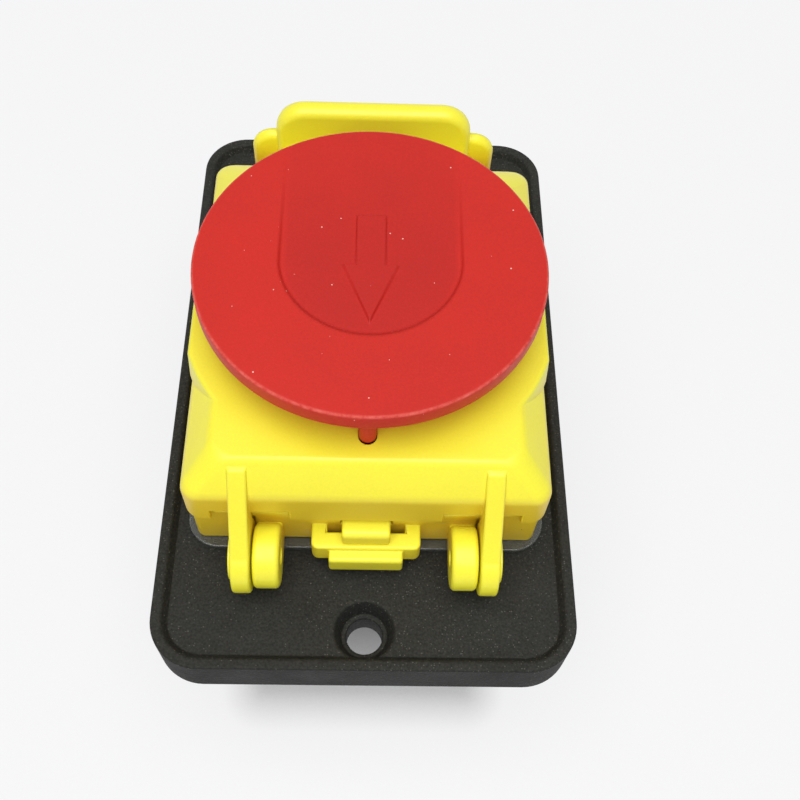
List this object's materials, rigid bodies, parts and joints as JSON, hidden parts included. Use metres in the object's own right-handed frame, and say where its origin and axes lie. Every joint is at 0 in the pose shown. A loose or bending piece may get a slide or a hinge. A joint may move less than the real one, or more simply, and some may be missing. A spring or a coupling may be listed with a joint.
{
  "type": "magnetic switch with stop lid",
  "caption": "Panel-mounted magnetic starter switch with a hinged yellow lid, a large red stop disc, a latch post and a rectangular black mounting plate.",
  "frame": {"origin": "on the panel face under the plate, midway between the two fixing holes", "axes": "+Z out of the panel towards the red disc, +Y along the fixing holes from the hinge to the latch post"},
  "size_m": [0.07, 0.114, 0.0785],
  "materials": {
    "yellow_plastic": "moulded, softly glossy",
    "red_plastic": "moulded, satin",
    "black_plastic": "fine-textured, matte",
    "clear_plastic": "clear soft moulding",
    "green_plastic": "moulded, satin",
    "ivory_plastic": "moulded, matte",
    "screw_steel": "zinc plated",
    "spring_steel": "drawn wire",
    "core_iron": "ground laminations",
    "contact_brass": "stamped sheet",
    "copper_wire": "enamelled copper wire"
  },
  "bodies": {
    "root": {"mounting_plate": "black_plastic", "clear_seal": "clear_plastic", "base_frame": "yellow_plastic", "clamp_ring": "yellow_plastic", "frame_screws": "screw_steel", "switch_case": "black_plastic", "spring_deck": "ivory_plastic", "switch_bezel": "black_plastic", "iron_core": "core_iron", "coil_bobbin": "ivory_plastic", "coil_winding": "copper_wire", "line_terminals": "contact_brass", "load_terminals": "contact_brass", "coil_terminals": "contact_brass", "off_spring": "spring_steel", "on_spring": "spring_steel", "return_springs": "spring_steel"},
    "lid": {"lid": "yellow_plastic", "hinge_pins": "yellow_plastic", "slider_rails": "yellow_plastic", "rail_screws": "screw_steel"},
    "slider": {"latch_slider": "red_plastic", "slot_shield": "red_plastic", "stop_spring": "spring_steel"},
    "disc": {"stop_disc": "red_plastic", "stop_pusher": "red_plastic", "pusher_screw": "screw_steel"},
    "off": {"off_button": "red_plastic", "off_boot": "clear_plastic", "stop_bridge": "contact_brass"},
    "on": {"on_button": "green_plastic", "on_boot": "clear_plastic"},
    "carrier": {"contact_carrier": "ivory_plastic", "armature_plate": "core_iron", "contact_bridges": "contact_brass", "contact_springs": "spring_steel"}
  },
  "joints": [
    {"name": "lid_hinge", "type": "hinge", "parent": "root", "child": "lid", "pos_m": [0, -0.03975, 0.0147], "axis": [1, 0, 0], "range_deg": [0, 110]},
    {"name": "latch_slide", "type": "slide", "parent": "lid", "child": "slider", "axis": [0, 1, 0], "range_m": [0, 0.0032]},
    {"name": "stop_press", "type": "slide", "parent": "slider", "child": "disc", "axis": [0, 0, -1], "range_m": [0, 0.003], "stiffness_N_per_m": 400, "springref_m": -0.002, "deforming": ["stop_spring"]},
    {"name": "off_press", "type": "slide", "parent": "root", "child": "off", "axis": [0, 0, -1], "range_m": [0, 0.003], "stiffness_N_per_m": 300, "springref_m": -0.002, "deforming": ["off_spring"]},
    {"name": "on_press", "type": "slide", "parent": "root", "child": "on", "axis": [0, 0, -1], "range_m": [0, 0.003], "stiffness_N_per_m": 300, "springref_m": -0.002, "deforming": ["on_spring"]},
    {"name": "carrier_slide", "type": "slide", "parent": "root", "child": "carrier", "axis": [0, 0, -1], "range_m": [0, 0.003], "stiffness_N_per_m": 300, "springref_m": -0.002, "deforming": ["return_springs"]}
  ],
  "couplings": [
    {"joint": "off_press", "follows": "stop_press", "ratio": 1},
    {"joint": "carrier_slide", "follows": "on_press", "ratio": 1}
  ]
}
